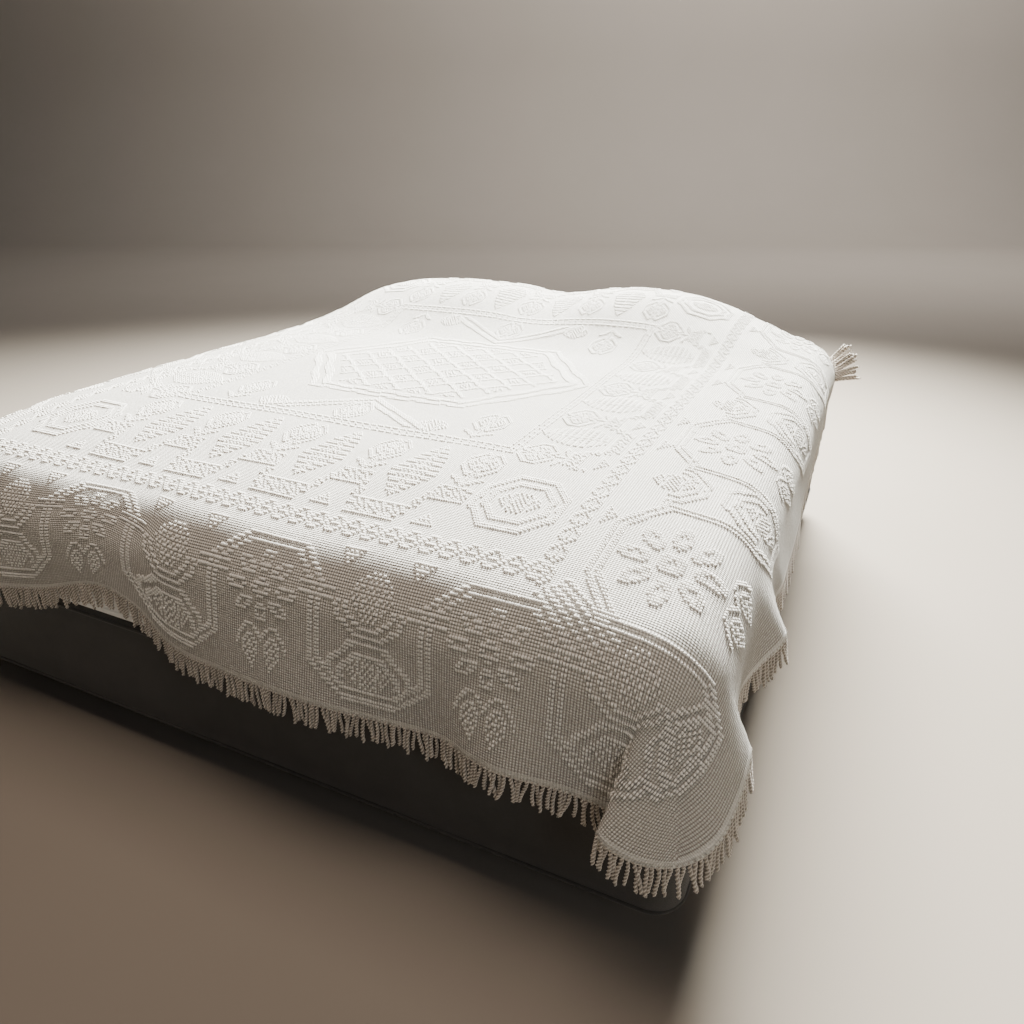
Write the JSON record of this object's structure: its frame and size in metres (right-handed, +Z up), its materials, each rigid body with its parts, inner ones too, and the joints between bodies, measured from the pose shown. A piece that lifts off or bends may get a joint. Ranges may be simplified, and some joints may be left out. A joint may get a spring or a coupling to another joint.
{
  "type": "candlewick bedspread on a bed",
  "caption": "Cream candlewick bedspread with raised woven knots and a twisted cord fringe, draped over a plain bed and the pillows at its head.",
  "frame": {"origin": "on the floor, under the middle of the bed, at the centre of the plinth's underside", "axes": "+Z up, +Y towards the head of the bed, +X towards the bed's right side as seen from its foot"},
  "size_m": [2.1315, 2.1352, 0.772],
  "materials": {
    "spread_cotton": "matte woven cotton with raised knots",
    "fringe_cord": "matte twisted cotton cord",
    "mattress_ticking": "matte knitted ticking",
    "pillow_cotton": "matte plain cotton",
    "base_cloth": "matte woven upholstery",
    "plinth_wood": "satin black stain"
  },
  "bodies": {
    "root": {"bedspread": "spread_cotton", "fringe_foot": "fringe_cord", "fringe_right": "fringe_cord", "fringe_left": "fringe_cord", "mattress": "mattress_ticking", "pillow_left": "pillow_cotton", "pillow_right": "pillow_cotton", "bed_base": "base_cloth", "bed_plinth": "plinth_wood"}
  },
  "joints": []
}
